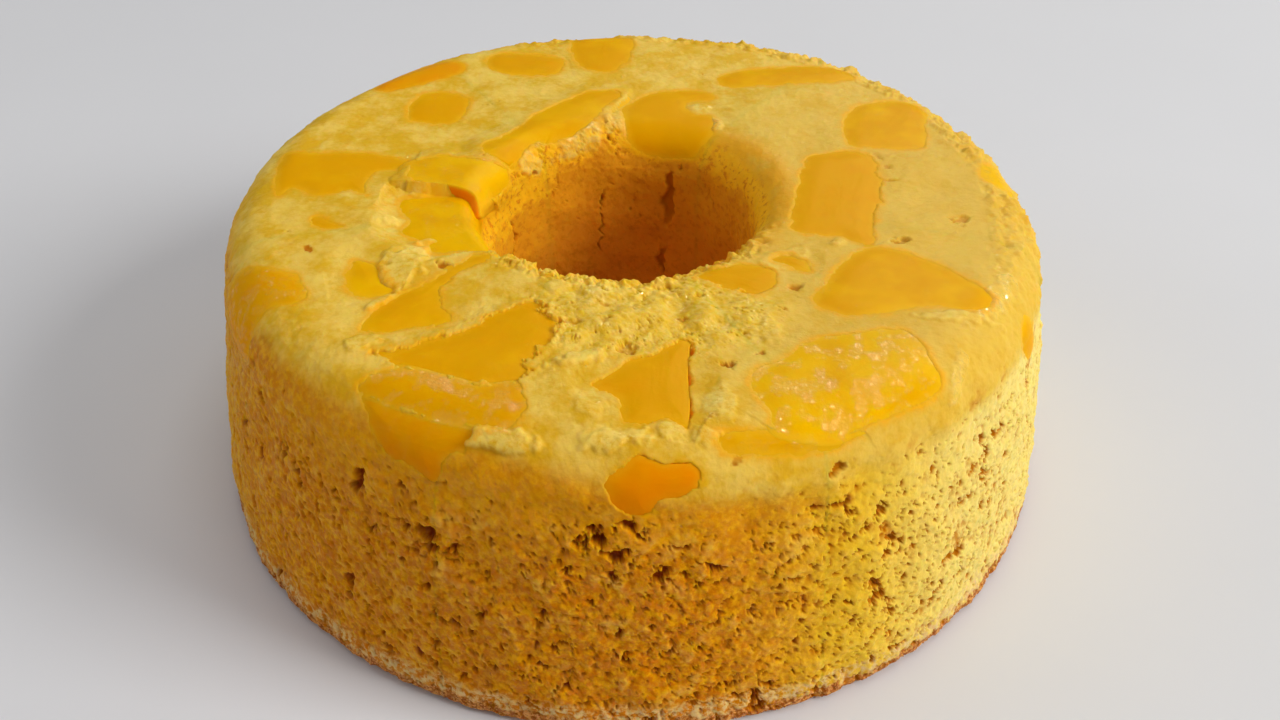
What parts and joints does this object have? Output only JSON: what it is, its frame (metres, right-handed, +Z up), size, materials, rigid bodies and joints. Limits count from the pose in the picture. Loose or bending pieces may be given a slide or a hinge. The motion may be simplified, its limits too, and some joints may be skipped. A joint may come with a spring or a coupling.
{
  "type": "mango ring cake",
  "caption": "Whole ring cake of yellow sponge, with a round hole through its middle and mango slices baked into its top.",
  "frame": {"origin": "on the cake's axis, at the level of the foot it rests on", "axes": "+Z up along the cake's axis; -Y is the side shown in the picture's foreground"},
  "size_m": [0.2056, 0.2055, 0.0719],
  "materials": {
    "crumb": "moist open sponge crumb under a smooth damp skin, browned at the foot",
    "mango": "baked mango flesh, smooth and wet, with faint fibres"
  },
  "bodies": {
    "root": {"cake_sponge": "crumb", "mango_rim_back": "mango", "mango_rim_back_left": "mango", "mango_edge_back_left": "mango", "mango_top_back_left": "mango", "mango_long_back_left": "mango", "mango_top_left": "mango", "mango_hole_left_upper": "mango", "mango_hole_left_lower": "mango", "mango_hole_left_front": "mango", "mango_top_left_small": "mango", "mango_top_left_sliver": "mango", "mango_edge_left": "mango", "mango_front_left_top": "mango", "mango_front_left_edge": "mango", "mango_front_left_wall": "mango", "mango_front_middle": "mango", "mango_front_wall": "mango", "mango_front_right": "mango", "mango_front_right_edge": "mango", "mango_right_front": "mango", "mango_hole_right_front": "mango", "mango_hole_right_small": "mango", "mango_right_long": "mango", "mango_right_back": "mango", "mango_back_right_long": "mango", "mango_hole_back": "mango", "mango_edge_right": "mango", "mango_edge_right_front": "mango", "mango_edge_back_right": "mango", "mango_edge_back": "mango"}
  },
  "joints": []
}
